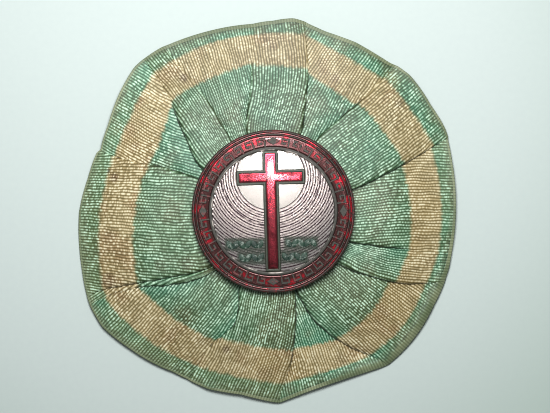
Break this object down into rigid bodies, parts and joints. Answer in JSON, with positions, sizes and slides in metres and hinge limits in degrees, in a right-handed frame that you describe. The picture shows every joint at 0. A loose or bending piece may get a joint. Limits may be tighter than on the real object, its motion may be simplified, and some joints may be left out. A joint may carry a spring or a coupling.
{
  "type": "enamel badge on a ribbon rosette",
  "caption": "Round enamel badge with a cross on a pleated striped ribbon rosette, lying face up, with a stick pin on its back.",
  "frame": {"origin": "under the middle of the rosette's outline, at the height of the surface it lies on", "axes": "+Z out of the badge's face, +Y towards the head of the cross, +X to the right seen from the front"},
  "size_m": [0.0706, 0.0718, 0.0072],
  "materials": {
    "badge_metal": "dark patina, silvered on the field",
    "red_enamel": "gloss, slightly translucent",
    "green_enamel": "gloss",
    "ribbon": "ribbed, faded green with cream stripes"
  },
  "bodies": {
    "root": {"badge_plate": "badge_metal", "border_enamel": "red_enamel", "edge_enamel": "red_enamel", "cross_enamel": "red_enamel", "leaf_enamel": "green_enamel", "rosette": "ribbon"}
  },
  "joints": []
}
